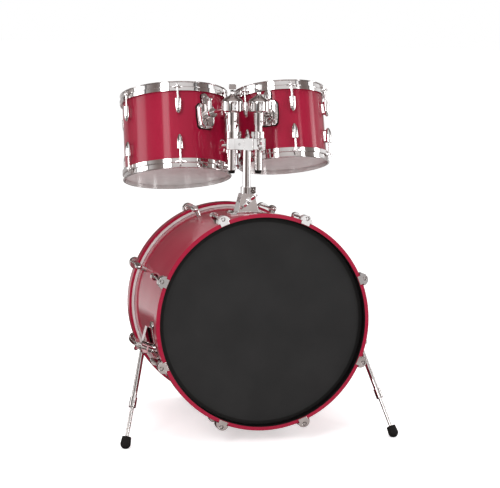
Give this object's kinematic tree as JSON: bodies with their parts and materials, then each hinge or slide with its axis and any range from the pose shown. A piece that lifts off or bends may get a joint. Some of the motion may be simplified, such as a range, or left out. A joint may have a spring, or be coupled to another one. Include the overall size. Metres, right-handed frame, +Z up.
{
  "type": "bass drum with toms",
  "caption": "Bass drum on folding spurs, with toms on a double tilting holder. Lacquered shells, chrome hoops, claws and lugs.",
  "frame": {"origin": "point on the floor where the rear bass hoop stands, on the drum's middle plane", "axes": "+Z up from the floor, -Y towards the front head, +X to the right as seen from the front"},
  "size_m": [0.7728, 0.7554, 0.9571],
  "materials": {
    "wine_lacquer": "gloss lacquer on wood ply",
    "chrome_plate": "polished chrome",
    "black_film": "satin black drum head film",
    "white_film": "milky white drum head film",
    "black_rubber": "matte rubber"
  },
  "bodies": {
    "bass_drum": {"bass_shell": "wine_lacquer", "bass_front_hoop": "wine_lacquer", "bass_rear_hoop": "wine_lacquer", "bass_front_head": "black_film", "bass_rear_head": "white_film", "bass_claws": "chrome_plate", "bass_tension_rods": "chrome_plate", "bass_lugs": "chrome_plate", "bass_lug_screws": "chrome_plate", "holder_base": "chrome_plate", "holder_base_screws": "chrome_plate", "spur_brackets": "chrome_plate"},
    "base_bolt": {"base_wing_bolt": "chrome_plate"},
    "post": {"holder_post": "chrome_plate", "post_lock": "chrome_plate", "bridge": "chrome_plate"},
    "left_bridge_bolt": {"left_bridge_wing_bolt": "chrome_plate"},
    "left_swivel": {"left_tube_lock": "chrome_plate"},
    "left_arm": {"left_arm_tube": "chrome_plate", "left_tube_cap": "black_rubber", "left_tilter_housing": "chrome_plate"},
    "left_tilter_knob": {"left_tilter_bolt": "chrome_plate"},
    "left_ball": {"left_ball_arm": "chrome_plate"},
    "left_tom": {"left_tom_shell": "wine_lacquer", "left_tom_top_hoop": "chrome_plate", "left_tom_bottom_hoop": "chrome_plate", "left_tom_top_head": "white_film", "left_tom_bottom_head": "white_film", "left_tom_lugs": "chrome_plate", "left_tom_tension_rods": "chrome_plate", "left_tom_lug_screws": "chrome_plate", "left_tom_bracket": "chrome_plate", "left_tom_gasket": "black_rubber"},
    "left_bracket_bolt": {"left_bracket_wing_bolt": "chrome_plate"},
    "right_bridge_bolt": {"right_bridge_wing_bolt": "chrome_plate"},
    "right_swivel": {"right_tube_lock": "chrome_plate"},
    "right_arm": {"right_arm_tube": "chrome_plate", "right_tube_cap": "black_rubber", "right_tilter_housing": "chrome_plate"},
    "right_tilter_knob": {"right_tilter_bolt": "chrome_plate"},
    "right_ball": {"right_ball_arm": "chrome_plate"},
    "right_tom": {"right_tom_shell": "wine_lacquer", "right_tom_top_hoop": "chrome_plate", "right_tom_bottom_hoop": "chrome_plate", "right_tom_top_head": "white_film", "right_tom_bottom_head": "white_film", "right_tom_lugs": "chrome_plate", "right_tom_tension_rods": "chrome_plate", "right_tom_lug_screws": "chrome_plate", "right_tom_bracket": "chrome_plate", "right_tom_gasket": "black_rubber"},
    "right_bracket_bolt": {"right_bracket_wing_bolt": "chrome_plate"},
    "left_spur": {"left_spur_tube": "chrome_plate"},
    "left_spur_leg": {"left_spur_rod": "chrome_plate", "left_spur_foot": "black_rubber"},
    "left_spur_nut": {"left_spur_wing_bolt": "chrome_plate"},
    "right_spur": {"right_spur_tube": "chrome_plate"},
    "right_spur_leg": {"right_spur_rod": "chrome_plate", "right_spur_foot": "black_rubber"},
    "right_spur_nut": {"right_spur_wing_bolt": "chrome_plate"}
  },
  "joints": [
    {"name": "base_bolt_turn", "type": "hinge", "parent": "bass_drum", "child": "base_bolt", "pos_m": [0, -0.2658, 0.62998], "axis": [0, -0.9976, 0.0698], "continuous": true},
    {"name": "post_height", "type": "slide", "parent": "bass_drum", "child": "post", "axis": [0, 0.0698, 0.9976], "range_m": [0, 0.08]},
    {"name": "left_bridge_bolt_turn", "type": "hinge", "parent": "post", "child": "left_bridge_bolt", "pos_m": [-0.0555, -0.20197, 0.77588], "axis": [-1, 0, 0], "continuous": true},
    {"name": "left_swivel_turn", "type": "hinge", "parent": "post", "child": "left_swivel", "pos_m": [-0.038, -0.19416, 0.88761], "axis": [0, 0.0698, 0.9976], "range_deg": [0, 35]},
    {"name": "left_arm_height", "type": "slide", "parent": "left_swivel", "child": "left_arm", "axis": [0, 0.0698, 0.9976], "range_m": [0, 0.025]},
    {"name": "left_tilter_knob_turn", "type": "hinge", "parent": "left_arm", "child": "left_tilter_knob", "pos_m": [-0.038, -0.19416, 0.88761], "axis": [0, 0.0698, 0.9976], "continuous": true},
    {"name": "left_tilt", "type": "hinge", "parent": "left_arm", "child": "left_ball", "pos_m": [-0.038, -0.19416, 0.88761], "axis": [0.915, 0.4026, -0.0281], "range_deg": [-3, 12]},
    {"name": "left_tom_slide", "type": "slide", "parent": "left_ball", "child": "left_tom", "axis": [-0.3926, 0.8717, -0.2933], "range_m": [-0.007, 0.018]},
    {"name": "left_bracket_bolt_turn", "type": "hinge", "parent": "left_tom", "child": "left_bracket_bolt", "pos_m": [-0.08093, -0.0874, 0.89073], "axis": [-0.0038, 0.3173, 0.9483], "continuous": true},
    {"name": "right_bridge_bolt_turn", "type": "hinge", "parent": "post", "child": "right_bridge_bolt", "pos_m": [0.038, -0.21943, 0.7771], "axis": [0, -0.9976, 0.0698], "continuous": true},
    {"name": "right_swivel_turn", "type": "hinge", "parent": "post", "child": "right_swivel", "pos_m": [0.038, -0.19416, 0.88761], "axis": [0, 0.0698, 0.9976], "range_deg": [-35, 0]},
    {"name": "right_arm_height", "type": "slide", "parent": "right_swivel", "child": "right_arm", "axis": [0, 0.0698, 0.9976], "range_m": [0, 0.025]},
    {"name": "right_tilter_knob_turn", "type": "hinge", "parent": "right_arm", "child": "right_tilter_knob", "pos_m": [0.038, -0.19416, 0.88761], "axis": [0, 0.0698, 0.9976], "continuous": true},
    {"name": "right_tilt", "type": "hinge", "parent": "right_arm", "child": "right_ball", "pos_m": [0.038, -0.19416, 0.88761], "axis": [0.8643, -0.5018, 0.0351], "range_deg": [-3, 12]},
    {"name": "right_tom_slide", "type": "slide", "parent": "right_ball", "child": "right_tom", "axis": [0.4929, 0.831, -0.258], "range_m": [-0.007, 0.018]},
    {"name": "right_bracket_bolt_turn", "type": "hinge", "parent": "right_tom", "child": "right_bracket_bolt", "pos_m": [0.07605, -0.11707, 0.9024], "axis": [-0.024, 0.3094, 0.9506], "continuous": true},
    {"name": "left_spur_fold", "type": "hinge", "parent": "bass_drum", "child": "left_spur", "pos_m": [-0.30564, -0.35055, 0.24234], "axis": [0.9632, -0.0188, -0.2683], "range_deg": [0, 118]},
    {"name": "left_spur_extend", "type": "slide", "parent": "left_spur", "child": "left_spur_leg", "axis": [-0.2398, -0.5112, -0.8253], "range_m": [-0.05, 0.07]},
    {"name": "left_spur_nut_turn", "type": "hinge", "parent": "bass_drum", "child": "left_spur_nut", "pos_m": [-0.30564, -0.35055, 0.24234], "axis": [0.9632, -0.0188, -0.2683], "continuous": true},
    {"name": "right_spur_fold", "type": "hinge", "parent": "bass_drum", "child": "right_spur", "pos_m": [0.30564, -0.35055, 0.24234], "axis": [0.9632, 0.0188, 0.2683], "range_deg": [0, 118]},
    {"name": "right_spur_extend", "type": "slide", "parent": "right_spur", "child": "right_spur_leg", "axis": [0.2398, -0.5112, -0.8253], "range_m": [-0.05, 0.07]},
    {"name": "right_spur_nut_turn", "type": "hinge", "parent": "bass_drum", "child": "right_spur_nut", "pos_m": [0.30564, -0.35055, 0.24234], "axis": [0.9632, 0.0188, 0.2683], "continuous": true}
  ]
}
